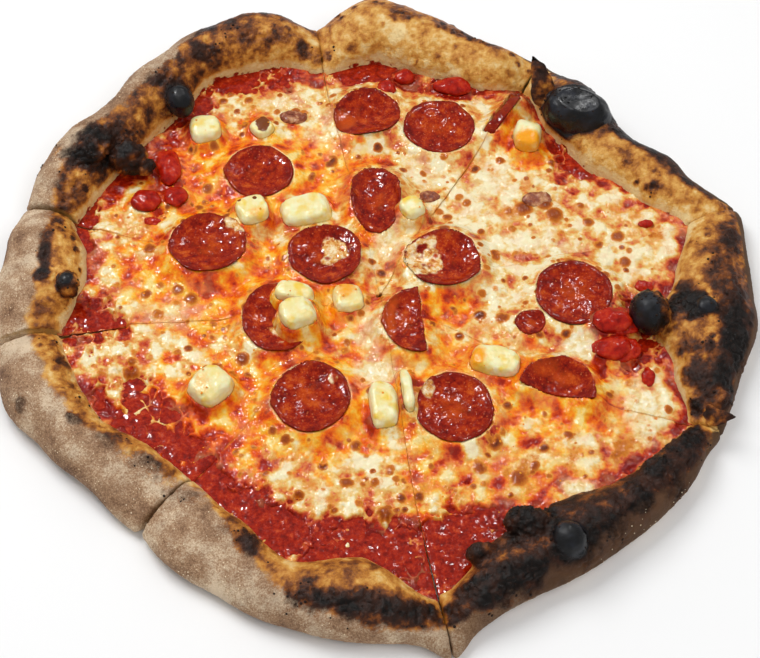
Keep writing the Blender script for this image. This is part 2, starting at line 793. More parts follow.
def dough_material(look):
    """Baked, burnt, floury and stained dough."""
    n = Nodes("baked_dough")
    coarse = n.noise(8.0, 4.0, 0.6)
    fine = n.noise(2.0, 4.0, 0.65)
    dust = n.noise(1.2, 3.0, 0.7)
    baked = n.spectrum(
        n.shaken(n.value("bake"), (fine, 0.42), (dust, 0.22)),
        (0.00, (0.90, 0.79, 0.56)), (0.20, look.dough_colour), (0.38, (0.72, 0.46, 0.17)),
        (0.54, (0.48, 0.26, 0.10)), (0.70, (0.23, 0.12, 0.07)), (1.00, (0.06, 0.04, 0.03)),
    )
    wall = n.spectrum(
        n.shaken(0.66, (n.noise(18.0, 4.0), 2.1), (dust, 0.9), (n.noise(0.6, 1.0), 0.5)),
        (0.02, (0.32, 0.21, 0.14)), (0.28, (0.50, 0.37, 0.27)), (0.60, (0.68, 0.54, 0.41)),
        (0.98, (0.88, 0.79, 0.67)),
    )
    dark_wall = n.mix(coarse, (0.17, 0.11, 0.06), (0.42, 0.30, 0.18))
    wall = n.mix(n.value("shade"), wall, dark_wall)
    wall = n.mix(n.part("bake", 0.5), wall, (0.36, 0.24, 0.19))
    floury = n.ramp(n.shaken(n.value("flour"), (fine, 0.5), (dust, 0.4)), 0.2, 0.8)
    colour = n.mix(floury, baked, wall)
    colour = n.mix(n.uneven(n.value("stain"), fine, 0.6), colour, (0.56, 0.12, 0.04))
    charcoal = n.mix(fine, (0.05, 0.05, 0.06), (0.15, 0.14, 0.15))
    colour = n.mix(n.value("bulb"), colour, charcoal)
    crumb = n.mix(coarse, (0.48, 0.33, 0.15), (0.80, 0.66, 0.40))
    colour = n.mix(n.value("crumb"), colour, crumb)
    rough = n.ramp(n.value("gloss"), 0.1, 0.9, 0.70, 0.22)
    return n.finish(colour, rough, ((fine, 0.7), (dust, 0.35)), Specular_IOR_Level=0.22)


def charred_skin_material():
    """The smooth black skin of a burnt blister."""
    n = Nodes("charred_skin")
    fine = n.noise(2.0, 4.0, 0.65)
    colour = n.mix(n.ramp(n.noise(7.0, 4.0), 0.4, 0.7), (0.03, 0.03, 0.04), (0.11, 0.12, 0.15))
    return n.finish(
        colour, n.ramp(n.noise(6.0, 3.0), 0.4, 0.65, 0.25, 0.5),
        ((n.noise(9.0, 2.0, 0.5), 1.0), (fine, 0.1)), Specular_IOR_Level=0.36,
    )


def sauce_material(look):
    """Wet tomato sauce with pulp in it."""
    n = Nodes("tomato_sauce")
    pulp = n.noise(3.2, 4.0, 0.6)
    fine = n.noise(1.1, 3.0, 0.6)
    colour = n.spectrum(
        n.shaken(pulp, (fine, 0.5)),
        (0.25, (0.38, 0.05, 0.02)), (0.45, (0.55, 0.09, 0.02)), (0.60, look.sauce_colour),
        (0.78, (0.78, 0.32, 0.15)),
    )
    return n.finish(
        colour, n.ramp(fine, 0.3, 0.7, 0.09, 0.20), ((n.noise(4.2, 1.5, 0.5), 0.8),),
        Subsurface_Weight=0.08, Subsurface_Scale=0.0015, Specular_IOR_Level=0.28,
    )


def cheese_material(look):
    """Melted cheese: red where it is thin, orange with oil, cream where thick, brown on blisters."""
    n = Nodes("melted_cheese")
    coarse = n.noise(6.0, 4.0, 0.6)
    curd = n.noise(3.0, 4.0, 0.55, 0.5)
    fine = n.noise(0.9, 3.0, 0.6)
    thick = n.shaken(n.value("cream"), (curd, 0.74), (fine, 0.20))
    plain = n.spectrum(
        thick, (0.06, (0.50, 0.06, 0.02)), (0.20, (0.68, 0.17, 0.07)), (0.34, (0.80, 0.36, 0.18)),
        (0.50, (0.85, 0.55, 0.24)), (0.68, (0.89, 0.74, 0.43)), (0.88, look.cheese_colour),
    )
    oily = n.spectrum(
        thick, (0.06, (0.64, 0.13, 0.01)), (0.24, (0.84, 0.28, 0.01)), (0.42, (0.92, 0.44, 0.01)),
        (0.60, look.oil_colour), (0.78, (0.94, 0.72, 0.24)), (0.95, (0.93, 0.82, 0.50)),
    )
    colour = n.mix(n.uneven(n.value("oil"), coarse, 0.9, 0.15, 0.75), plain, oily)
    colour = n.mix(n.ramp(n.noise(10.0), 0.48, 0.72, 0.0, 0.35), colour, (0.86, 0.58, 0.38))
    pool = n.spectrum(
        curd, (0.30, (0.86, 0.72, 0.46)), (0.48, (0.91, 0.85, 0.66)), (0.65, (0.95, 0.93, 0.84))
    )
    colour = n.mix(n.part("pale", 0.85), colour, pool)
    colour = n.mix(n.part("lip", 0.8), colour, (0.95, 0.86, 0.62))
    colour = n.mix(n.part("seam", 0.6), colour, (0.84, 0.52, 0.16))
    toast = n.shaken(n.value("brown"), (fine, 0.35))
    toasted = n.spectrum(
        toast, (0.08, (0.90, 0.64, 0.28)), (0.26, (0.83, 0.51, 0.15)), (0.52, (0.72, 0.38, 0.08)),
        (0.76, (0.60, 0.27, 0.06)), (1.00, (0.38, 0.16, 0.06)),
    )
    colour = n.mix(n.ramp(toast, 0.04, 0.36), colour, toasted)
    return n.finish(
        colour, n.ramp(fine, 0.35, 0.65, 0.10, 0.24),
        ((n.noise(3.8, 1.5, 0.5), 1.1), (n.noise(1.6, 2.0), 0.3)),
        Subsurface_Weight=0.08, Subsurface_Scale=0.0012, Specular_IOR_Level=0.34,
    )


def pepperoni_material(look):
    """Cured meat with specks of fat, darker at its edge, greasy, and in places under cheese."""
    n = Nodes("pepperoni")
    meat = n.noise(3.4, 4.0, 0.62)
    fine = n.noise(0.9, 3.0, 0.6)
    colour = n.spectrum(
        n.shaken(meat, (fine, 0.45), (n.noise(8.0, 2.0), 0.7)),
        (0.22, (0.36, 0.03, 0.01)), (0.42, (0.52, 0.08, 0.01)), (0.58, look.pepperoni_colour),
        (0.78, (0.76, 0.32, 0.08)),
    )
    specks = n.ramp(n.cells(1.5), 0.16, 0.34, 1.0, 0.0)
    fat = n.math("MULTIPLY", specks, n.ramp(n.noise(3.0, 3.0), 0.44, 0.58))
    colour = n.mix(n.math("MULTIPLY", fat, 0.55), colour, (0.80, 0.40, 0.22))
    colour = n.mix(n.part("grease", 0.7), colour, (0.76, 0.30, 0.04))
    colour = n.mix(n.part("edge", 0.7), colour, (0.42, 0.06, 0.02))
    melted = n.spectrum(
        n.shaken(meat, (fine, 0.3)),
        (0.32, (0.72, 0.30, 0.08)), (0.46, (0.88, 0.66, 0.34)), (0.60, (0.94, 0.88, 0.72)),
    )
    colour = n.mix(n.ramp(n.value("cheesy"), 0.2, 0.8, 0.0, 0.92), colour, melted)
    return n.finish(
        colour, n.ramp(fine, 0.3, 0.7, 0.09, 0.20), ((n.noise(3.2, 1.5, 0.5), 0.35),),
        Specular_IOR_Level=0.20, Subsurface_Weight=0.06, Subsurface_Scale=0.001,
    )


def soft_cheese_material(look):
    """Soft white cheese that yellows, takes up oil and browns."""
    n = Nodes("soft_cheese")
    cloud = n.noise(5.0, 3.0, 0.5)
    colour = n.mix(n.ramp(cloud, 0.35, 0.65), look.soft_cheese_colour, (0.91, 0.85, 0.58))
    yellow = n.ramp(n.shaken(n.value("yolk"), (cloud, 0.8)), 0.2, 1.2)
    colour = n.mix(yellow, colour, (0.91, 0.77, 0.26))
    oil = n.uneven(n.value("oil"), n.noise(2.0), 0.7, 0.1, 0.95)
    colour = n.mix(oil, colour, (0.93, 0.62, 0.10))
    colour = n.mix(n.uneven(n.value("brown"), n.noise(1.5), 0.4), colour, (0.46, 0.23, 0.07))
    return n.finish(
        colour, 0.24, ((n.noise(2.5, 3.0, 0.5), 0.4),),
        Subsurface_Weight=0.2, Subsurface_Scale=0.003, Specular_IOR_Level=0.28,
    )


def tomato_material(look):
    """Cooked tomato."""
    n = Nodes("tomato")
    colour = n.spectrum(
        n.noise(4.0, 3.0, 0.6),
        (0.30, (0.50, 0.04, 0.01)), (0.50, look.tomato_colour), (0.75, (0.78, 0.24, 0.10)),
    )
    return n.finish(
        colour, 0.22, ((n.noise(3.0, 2.0, 0.5), 0.3),),
        Subsurface_Weight=0.15, Subsurface_Scale=0.002, Specular_IOR_Level=0.24,
    )


def browned_bit_material():
    """Small bits of pepperoni browned under a film of cheese."""
    n = Nodes("browned_bits")
    colour = n.spectrum(
        n.noise(3.5, 4.0, 0.6),
        (0.30, (0.36, 0.14, 0.10)), (0.50, (0.56, 0.30, 0.20)), (0.72, (0.82, 0.62, 0.44)),
    )
    return n.finish(colour, 0.25, ((n.noise(2.5, 3.0, 0.6), 0.5),), Specular_IOR_Level=0.28)


def grain_material(name, patch_mm, first, second, roughness, **constants):
    """Two colours in patches, for small strewn grains."""
    n = Nodes(name)
    return n.finish(n.mix(n.noise(patch_mm), first, second), roughness, (), **constants)


# Crust

# The next tables go round the rim, each entry a direction and a value. Where the cheese ends, as a
# distance from the foot of the rim.
CHEESE_GAP = (
    (150, 10), (163, 6), (200, 4), (215, 8), (228, 30), (285, 30), (300, 8), (330, 5), (376, 3),
    (420, 6), (440, 14), (461, 12), (500, 12), (510, 10),
)

# Radius of the line where the floury side of the rim begins.
SHOULDER = (
    (150, 158), (160, 157), (167, 152), (180, 151), (190, 155), (203, 149), (212, 145), (222, 131),
    (235, 127), (247, 144), (257, 158), (268, 165), (278, 168), (290, 159), (310, 153), (322, 157),
    (332, 164), (345, 176), (360, 182), (385, 184), (440, 180), (478, 176),
    (488, 160), (500, 155), (510, 158),
)

# How far the crest of the rim is baked.
BAKING = (
    (150, 0.42), (163, 0.32), (176, 0.24), (200, 0.24), (230, 0.25), (255, 0.36), (272, 0.46),
    (285, 0.62), (305, 0.66), (325, 0.58), (340, 0.42), (352, 0.36), (375, 0.32), (395, 0.34),
    (420, 0.26), (445, 0.17), (461, 0.24), (475, 0.42), (490, 0.44), (510, 0.46),
)

# How dark the outer side of the rim is.
SHADED = ((150, 0), (272, 0), (293, 1), (418, 1), (442, 0), (510, 0))

# How much the outer edge of the crest is singed.
SINGED = (
    (150, 0), (335, 0.3), (350, 1), (362, 0.5), (374, 0.4), (384, 0.9), (412, 1), (420, 0.2),
    (440, 0.5), (455, 0.2), (463, 0.6), (490, 0.3), (510, 0),
)


def along_rim(angle, table):
    """A value of a table of directions, read in each direction."""
    directions, values = np.array(table, float).T
    start = directions[0]
    return np.interp((angle - start) % 360.0 + start, directions, values)


class RimPlaces(NamedTuple):
    """Where a crust's points lie: in the plane, in space, and against the rim and the cuts."""

    flat: np.ndarray
    space: np.ndarray
    normals: np.ndarray
    angle: np.ndarray
    radius: np.ndarray
    past_foot: np.ndarray
    height: np.ndarray
    outwards: np.ndarray
    on_rim: np.ndarray
    cut_face: np.ndarray


def rim_places(index, points, normals):
    """Measures where a crust's points lie."""
    flat = mm(points)
    angle, radius = polar(flat)
    height = points[:, 2] / MM
    outline = plan_outline(f"slice_{index}_sauce")
    past_foot = radius - arc_radius(outline, flat)
    outwards = (flat / np.maximum(radius, 1.0)[:, None] * normals[:, :2]).sum(axis=1)
    on_rim = np.maximum(ease((past_foot + 1.0) / 6.0), ease((height - 9.0) / 3.0))
    cut = cut_distance(grown_outline(outline, 40.0, 0.0), flat)
    upright = ease((0.75 - np.abs(normals[:, 2])) / 0.3) * ease((0.7 - np.abs(outwards)) / 0.3)
    cut_face = ease((1.0 - cut) / 0.6) * upright
    return RimPlaces(
        flat, points / MM, normals, angle, radius, past_foot, height, outwards, on_rim, cut_face
    )


def rim_flour(at, bulb):
    """Flour on the side of the rim and underneath."""
    edge = 3.0 * clouds(at.flat, 12.0, 13, 4)
    flour = np.maximum(
        ease((at.radius - along_rim(at.angle, SHOULDER) + edge) / 7.0 + 0.5),
        ease((at.outwards - 0.35) * 4.0) * ease((15.0 - at.height) / 5.0),
    )
    return np.maximum(flour * at.on_rim, ease((1.5 - at.height) / 1.0)) * (1.0 - bulb)


def rim_char(at, flour):
    """Scorched places, and small burnt spots between them."""
    char = patches(at.flat, SCORCHES, 0.40, 0.95, 11) * ease((at.height - 5.0) / 5.0) * at.on_rim
    between = ease((nearest_cell(at.flat, 7.0, 15) - 1.1) / 0.9)
    spots = (1.0 - between) * ease((clouds(at.flat, 24.0, 16) - 0.05) / 0.2) * at.on_rim
    char = np.maximum(char, 0.6 * spots * ease((at.height - 8.0) / 4.0) * (1.0 - flour))
    return char * (1.0 - 0.9 * at.cut_face)


def rim_layers(at, bulb, flour, char):
    """What the dough's material reads."""
    specks = clouds(at.space, 6.0, 14, 4, 0.6)
    bake = along_rim(at.angle, BAKING) * (0.35 + 0.65 * ease((at.height - 7.0) / 9.0))
    bake = (bake + 0.06 + 0.26 * specks) * at.on_rim
    burnt = char**1.5 * (0.80 + 0.95 * clouds(at.space, 9.0, 23, 3))
    bake += np.maximum(0.98 - bake, 0.0) * burnt
    bake -= 0.32 * patches(at.flat, PALE_DOUGH, 0.4, 1.2, 24) * (1.0 - char)
    singed = ease(at.outwards * 2.5) * ease((at.past_foot - 12.0) / 8.0)
    bake += 0.5 * singed * along_rim(at.angle, SINGED)
    stain = ease((1.6 - at.past_foot) / 2.4 + 0.6 * specks) * ease((11.0 - at.height) / 4.0)
    bottom = ease(-at.normals[:, 2] * 3.0 - 0.3) * ease((12.0 - at.height) / 3.0)
    browned = bottom * ease((1.5 - at.height) / 1.0)
    browned *= ease(0.35 + 1.6 * clouds(at.flat, 17.0, 27, 4))
    bake += (0.30 + 0.6 * browned - bake) * bottom
    stain *= 1.0 - bottom
    return {
        "bake": bake,
        "flour": np.maximum(flour * (1.0 - 0.6 * char), bottom * (1.0 - 0.75 * browned)),
        "stain": stain,
        "shade": along_rim(at.angle, SHADED) * (1.0 - bottom),
        "bulb": bulb,
        "gloss": np.maximum(bulb, np.maximum(stain, 0.55 * (1.0 - flour))),
        "crumb": at.cut_face,
    }


def rim_relief(at, bulb, flour, char):
    """How far the dough swells, in millimetres: lumps, crags, pores, burnt domes and open crumb."""
    lumps = 0.7 * clouds(at.space, 16.0, 17, 2) + 0.35 * clouds(at.space, 5.5, 18, 3)
    crags = (ridges(at.space, 5.0, 19) - 0.55) * 1.5 + 0.50 * clouds(at.space, 2.2, 20, 2)
    pores = 0.12 * clouds(at.space, 1.6, 21, 2)
    under = ease(-at.normals[:, 2] * 4.0 - 1.6) * ease((3.0 - at.height) / 2.0)
    free = at.on_rim * (1.0 - under) * (1.0 - at.cut_face)
    rough_char = char * (1.0 - bulb)
    swell = free * (0.5 + lumps * (1.0 - 0.7 * flour) + crags * rough_char + pores)
    dome = patches(at.flat, BURNT_BULBS, 0.0, 1.6, 12) * ease((at.height - 9.0) / 4.0)
    swell += (0.8 + 1.4 * (at.space[:, 0] > 0.0)) * dome
    holes = ease((1.2 - nearest_cell(at.space[:, 1:], 2.6, 22)) / 1.0)
    return swell - at.cut_face * 0.5 * holes


def give_skin(mesh, skin, bulb):
    """Gives the faces of burnt blisters a second material."""
    mesh.materials.append(skin)
    corners = np.empty(len(mesh.loops), np.int64)
    mesh.loops.foreach_get("vertex_index", corners)
    starts = np.empty(len(mesh.polygons), np.int64)
    mesh.polygons.foreach_get("loop_start", starts)
    charred = np.minimum.reduceat(bulb[corners], starts) > 0.55
    mesh.polygons.foreach_set("material_index", charred.astype(np.int32))


def make_crust(index, material, skin, look):
    """The base and the puffed rim of a slice."""
    node = f"slice_{index}_crust"
    mesh = even_mesh(node, look.crust_grain, 6)
    points = points_of(mesh)
    at = rim_places(index, points, normals_of(mesh))
    bulb = patches(at.flat, BURNT_BULBS, 0.0, 0.4, 12) * ease((at.height - 9.0) / 4.0)
    flour = rim_flour(at, bulb)
    char = rim_char(at, flour)
    points = points + at.normals * rim_relief(at, bulb, flour, char)[:, None] * MM
    points[:, 2] = np.maximum(points[:, 2], 0.0)
    set_points(mesh, points)
    paint(mesh, **rim_layers(at, bulb, flour, char))
    piece = add_piece(f"crust_{index}", mesh, material, "baked_crust", node)
    give_skin(mesh, skin, bulb)
    return piece


def ground_under(trees, place):
    """Height in millimetres of the highest surface under a place."""
    spot = Vector((*((np.array(place) + CROSSING) * MM), 1.0))
    hits = [tree.ray_cast(spot, Vector((0.0, 0.0, -1.0)))[0] for tree in trees]
    return max(hit.z for hit in hits if hit is not None) / MM


def make_torn_tips(material, trees):
    """Flakes of dough torn up at the rim."""
    bm = bmesh.new()
    bake = []
    for foot, tip, rise, width, baked in TORN_TIPS:
        flake = bmesh.ops.create_icosphere(bm, subdivisions=5, radius=1.0)["verts"]
        ground = ground_under(trees, foot)
        foot = Vector((*(np.array(foot) + CROSSING), ground - 2.0))
        tip = Vector((*(np.array(tip) + CROSSING), ground + rise))
        across = (tip - foot).cross(Vector((0.0, -0.57, 0.82))).normalized()
        for vert in flake:
            up = vert.co.z * 0.5 + 0.5
            side = vert.co.x * width / 2 * (1.0 - 0.8 * up) + 1.2 * math.sin(4.0 * up)
            thick = Vector((0.0, -0.7, 0.7)) * (vert.co.y * 1.1 + 1.5 * math.sin(3.0 * up))
            vert.co = (foot.lerp(tip, up) + across * side + thick) * MM
            bake.append(baked)
    bmesh.ops.recalc_face_normals(bm, faces=bm.faces)
    mesh = mesh_of(bm, "torn_tips")
    space = points_of(mesh) / MM
    swollen(mesh, 0.7 * clouds(space, 5.0, 25, 3))
    paint(mesh, bake=np.array(bake) + 0.4 * clouds(space, 6.0, 26, 3))
    return add_piece("torn_tips", mesh, material, "baked_crust")


# Sauce and cheese


def layer_base(index):
    """Height of the sauce's even surface on a slice."""
    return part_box(f"slice_{index}_sauce")[1].z


def make_sauce(index, material, look):
    """The sauce of a slice, pulpy on top and sunk at its cuts."""
    node = f"slice_{index}_sauce"
    outline = grown_outline(plan_outline(node), 4.0, 0.25)
    level = layer_base(index)
    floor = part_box(node)[0].z

    def top_of(flat):
        pulp = 0.40 * clouds(flat, 9.0, 31, 2) + 0.16 * ease(1.0 - nearest_cell(flat, 4.2, 32) / 2.2)
        seam = np.exp(-((cut_distance(outline, flat) / 0.8) ** 2))
        return level + (pulp - 0.5 * seam) * MM

    mesh, _ = sheet_mesh(node, outline, look.sauce_grain / MM, floor, top_of)
    return add_piece(f"sauce_{index}", mesh, material, "tomato_sauce", node)


SMALL_BLISTERS = 760
SMALL_BLISTER_WIDTHS = (2.4, 5.2)
CHEESE_LOW, CHEESE_HIGH = (-125, -120), (135, 125)    # the field that small blisters are drawn in


def blister_field(flat):
    """Height of the cheese's blisters in millimetres, and how brown each place is."""
    rng = np.random.default_rng(5)
    small = rng.uniform(CHEESE_LOW, CHEESE_HIGH, (SMALL_BLISTERS, 2))
    widths = rng.uniform(*SMALL_BLISTER_WIDTHS, SMALL_BLISTERS) * rng.choice((0.7, 1.0), SMALL_BLISTERS)
    table = [(x, y, width) for (x, y), width in zip(small, widths)]
    table += [(x, y, width * 1.05) for x, y, width in CHEESE_BLISTERS]
    wander = np.column_stack((clouds(flat, 4.0, 41, 2), clouds(flat, 4.0, 42, 2))) * 0.5
    moved = flat + wander
    low, high = flat.min(axis=0) - 5.0, flat.max(axis=0) + 5.0
    rise = np.zeros(len(flat))
    brown = np.zeros(len(flat))
    for number, (x, y, width) in enumerate(table):
        if not (low[0] < x < high[0] and low[1] < y < high[1]):
            continue
        near = np.abs(moved[:, 1] - y) < width
        away = np.hypot(moved[near, 0] - x, moved[near, 1] - y) / (width / 2)
        dome = ease(1.25 - away)
        toasted = (0.5 + 0.5 * math.sin(number * 2.4)) ** 2 + 0.25 * (width > 4.5)
        if number >= SMALL_BLISTERS:
            toasted = max(toasted, 0.85)
        rise[near] = np.maximum(rise[near], 0.13 * width * dome)
        brown[near] = np.maximum(brown[near], ease((1.2 - away) / 0.85) * (0.36 + 0.5 * toasted))
    return rise, brown


class CheeseEdges(NamedTuple):
    """Outlines of a slice: its cheese's solid, its sauce's solid and the sheet made here."""

    cheese: np.ndarray
    sauce: np.ndarray
    sheet: np.ndarray


def cheese_cover(flat, edges):
    """1 where a slice has its full cheese, falling to 0 at a ragged edge before the rim."""
    angle, radius = polar(flat)
    ragged = 5.0 * clouds(flat, 16.0, 51, 3)
    foot = arc_radius(edges.sauce, flat)
    arc = arc_radius(edges.cheese, flat) + 5.0
    arc = np.maximum(arc, foot - along_rim(angle, CHEESE_GAP) + 4.0)
    return ease((arc + ragged - radius) / 9.0)


def cheese_seam(flat, edges):
    """1 along a cut, faint near the crossing and broken further out."""
    close = np.exp(-((cut_distance(edges.sheet, flat) / 0.4) ** 2))
    seam = close * ease(0.5 + clouds(flat, 13.0, 68, 2))
    return seam * ease((polar(flat)[1] - 20.0) / 60.0)


def cheese_fields(flat, edges):
    """The cheese's depth over the sauce in millimetres, and what its material reads."""
    cover = cheese_cover(flat, edges)
    bare = patches(flat, BARE_SAUCE, 0.5, 1.0, 52)
    oil = patches(flat, OIL_POOLS, 0.6, 1.2, 53)
    pale = patches(flat, PALE_POOLS, 0.5, 1.3, 54)
    curds = clouds(flat, 9.0, 55, 4, 0.52)
    webs = cell_walls(flat, 6.5, 60) * ease(0.65 + 1.3 * clouds(flat, 20.0, 56, 2))
    amount = 0.46 * cover - 0.12 - 0.56 * bare - 0.20 * oil + (0.56 + 0.20 * bare) * curds
    cream = np.clip(0.34 + amount + (0.08 + 0.40 * bare) * webs, 0.0, 1.0)
    cream = np.maximum(cream, 0.9 * pale)
    film = 0.3 * clouds(flat, 14.0, 70, 2)
    buried = ease((0.35 * cover - bare + film + 0.72 + 0.5 * webs) / 0.9)
    buried = np.maximum(buried, pale)
    rise, brown = blister_field(flat)
    toasted = patches(flat, TOASTED_CHEESE, 0.7, 1.4, 61)
    brown = np.maximum(brown, toasted * (0.35 + 1.0 * clouds(flat, 11.0, 62, 4)))
    kept = ease((cream - 0.25) / 0.3)
    brown = brown * kept * (1.0 - 0.8 * pale)
    seam = cheese_seam(flat, edges)
    wrinkles = 0.30 * clouds(flat, 4.6, 57, 2) + 0.03 * clouds(flat, 1.5, 58, 1)
    depth = 1.1 * cream + 2.0 * buried - 0.9 + 0.5 * clouds(flat, 14.0, 59, 2)
    depth = depth + wrinkles * (1.0 - 0.5 * pale) + rise * kept * (1.0 - 0.5 * pale) - 0.2 * seam
    return depth, {"cream": cream, "oil": oil, "pale": pale, "brown": brown, "seam": seam}, kept


def make_cheese(index, material, look, toppings):
    """The cheese of a slice, which runs over the bare sauce as a thin film."""
    node = f"slice_{index}_cheese"
    sauce_outline = plan_outline(f"slice_{index}_sauce")
    outline = grown_outline(sauce_outline, 3.0, 0.3)
    edges = CheeseEdges(plan_outline(node), sauce_outline, outline)
    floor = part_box(node)[0].z - 0.9 * MM
    level = layer_base(index)
    layers = {}

    def top_of(flat):
        depth, fields, kept = cheese_fields(flat, edges)
        tops, lip, halo = meet_toppings(flat, level + depth * MM, toppings)
        halo *= ease(0.55 + clouds(flat, 11.0, 67, 3)) * (1.0 - fields["pale"])
        oil = np.maximum(fields["oil"], (0.35 + 0.65 * fields["oil"]) * halo)
        whiter = 0.12 * kept * (1.0 - oil) * ease(2.0 * clouds(flat, 22.0, 69, 2))
        cream = fields["cream"] - 0.20 * halo + whiter
        layers.update(fields, cream=cream, oil=oil, lip=lip)
        return tops

    mesh, count = sheet_mesh(node, outline, look.cheese_grain / MM, floor, top_of)
    rest = np.full(len(mesh.vertices) - count, 0.3)
    paint(mesh, **{name: np.append(values, rest) for name, values in layers.items()})
    return add_piece(f"cheese_{index}", mesh, material, "melted_cheese", node)


class Topping(NamedTuple):
    """A finished topping that the cheese meets: its faces, its box and how it sits."""

    tree: BVHTree
    low: np.ndarray
    high: np.ndarray
    flat: bool


def found_toppings(pieces):
    """The toppings among some pieces."""
    found = []
    for piece in pieces:
        if piece.name.startswith(("pepperoni_slice", "soft_cheese", "tomato_piece")):
            points = points_of(piece.data)
            is_flat = piece.name.startswith("pepperoni")
            found.append(Topping(tree_of(piece.data), points.min(axis=0), points.max(axis=0), is_flat))
    return found


# How the cheese meets the toppings: how far from one it begins to climb, and for flat rounds and
# for lumps the share of their height it reaches and, in millimetres, how wide its slope is.
CHEESE_REACH = 11.0 * MM
FLAT_CLIMB, FLAT_SLOPE = 0.66, 5.5
LUMP_CLIMB, LUMP_SLOPE = 0.30, 2.6


def meet_toppings(flat, tops, toppings):
    """Brings the cheese up to the toppings that lie on it, with a thin lip along each.

    Returns the heights, how close each place is to a lip, and how close to a topping.
    """
    tops = tops.copy()
    lip = np.zeros(len(flat))
    halo = np.zeros(len(flat))
    world = (flat + CROSSING) * MM
    for tree, low, high, is_flat in toppings:
        near = ((world > low[:2] - CHEESE_REACH) & (world < high[:2] + CHEESE_REACH)).all(axis=1)
        climb, slope = (FLAT_CLIMB, FLAT_SLOPE) if is_flat else (LUMP_CLIMB, LUMP_SLOPE)
        level = low[2] + (high[2] - low[2]) * climb
        for spot in np.flatnonzero(near):
            x, y = world[spot]
            hit = tree.ray_cast(Vector((x, y, -1.0)), Vector((0.0, 0.0, 1.0)))[0]
            if hit is not None:
                tops[spot] = min(hit.z + 0.25 * MM, max(tops[spot], hit.z - 0.6 * MM))
                continue
            place, _, _, away = tree.find_nearest(Vector((x, y, level)), CHEESE_REACH)
            if place is not None:
                away /= MM
                close = math.exp(-((away / slope) ** 2))
                tops[spot] += max(0.0, min(place.z, level) - tops[spot]) * close
                lip[spot] = max(lip[spot], math.exp(-(((away - 0.5) / 0.3) ** 2)) * is_flat)
                halo[spot] = max(halo[spot], math.exp(-((away / 4.5) ** 2)))
    return tops, lip * ease(0.4 + 1.4 * clouds(flat, 14.0, 66, 2)), halo


# Toppings


STANDING_STRIP = 15               # the pepperoni that stands on its edge


def make_pepperoni(number, material, look):
    """A round of pepperoni, raised at its edge and where cheese has run over it."""
    node = f"pepperoni_{number:02d}"
    mesh = even_mesh(node, look.topping_grain, 3)
    points = points_of(mesh)
    normals = normals_of(mesh)
    space = points / MM
    middle = space.mean(axis=0)
    size = np.ptp(space, axis=0)
    out = np.hypot((space[:, 0] - middle[0]) / size[0], (space[:, 1] - middle[1]) / size[1]) * 2.0
    above = ease(normals[:, 2] * 2.0)
    swell = 0.55 * clouds(space, 9.0, 61 + number, 2) + 0.07 * clouds(space, 2.6, 62, 1)
    swell += 0.10 * ease(1.0 - nearest_cell(space[:, :2], 2.6, 63) / 1.1) + 0.35 * ease((out - 0.7) / 0.25)
    swell = swell + 0.5 * patches(mm(points), CHEESE_VEILS, 0.5, 0.6, 69)
    points = points + normals * (swell * above)[:, None] * MM
    bend = np.column_stack([clouds(space, 15.0, seed + number, 2) for seed in (91, 92)])
    points[:, :2] += 0.9 * bend * MM
    set_points(mesh, points)
    veil = patches(mm(points), CHEESE_VEILS, 0.5, 0.6, 69)
    edge = ease((out - 0.80) / 0.16) * (0.6 + 0.4 * clouds(space, 5.0, 64))
    grease = ease((0.55 - out) / 0.5) * ease(0.4 + clouds(space, 9.0, 65))
    grease = np.maximum(0.8 * grease, patches(mm(points), PEPPERONI_OIL, 0.3, 0.7, 67))
    if number == STANDING_STRIP:
        edge = 0.9 + 0.5 * clouds(space, 5.0, 68, 2)
    paint(mesh, edge=edge, grease=grease * above, cheesy=veil * ease(0.85 + clouds(space, 5.0, 60, 2)))
    return add_piece(f"pepperoni_slice_{number:02d}", mesh, material, "pepperoni", node)


def make_cube(number, material, look):
    """A lump of soft cheese, oily and yellow at its foot."""
    node = f"cheese_cube_{number:02d}"
    mesh = even_mesh(node, look.topping_grain, 5, 1)
    points = points_of(mesh)
    normals = normals_of(mesh)
    space = points / MM
    low, high = space.min(axis=0), space.max(axis=0)
    rise = (space[:, 2] - low[2]) / (high[2] - low[2])
    swell = 0.60 * clouds(space, 8.0, 71, 2) + 0.06 * clouds(space, 2.5, 72, 1)
    points = points + normals * swell[:, None] * MM
    set_points(mesh, points)
    stains = patches(mm(points), CUBE_STAINS, 0.3, 1.5, 70)
    oil = np.maximum(ease((0.50 - rise) / 0.5) * ease(0.6 + clouds(space, 7.0, 73)), stains)
    yolk = np.maximum(ease(0.30 + 0.8 * clouds(space, 8.0, 74 + number)), ease((0.5 - rise) / 0.4))
    paint(mesh, oil=oil, yolk=yolk, brown=patches(mm(points), CUBE_SCORCHES, 0.3, 0.7, 75))
    return add_piece(f"soft_cheese_{number:02d}", mesh, material, "soft_cheese", node)


def make_tomato(number, material, look):
    """A piece of cooked tomato."""
    node = f"tomato_{number:02d}"
    mesh = even_mesh(node, look.topping_grain, 4, 1)
    space = points_of(mesh) / MM
    swollen(mesh, 0.2 + 0.9 * clouds(space, 7.0, 81, 2) + 0.06 * clouds(space, 1.6, 82, 2))
    return add_piece(f"tomato_piece_{number:02d}", mesh, material, "tomato", node)


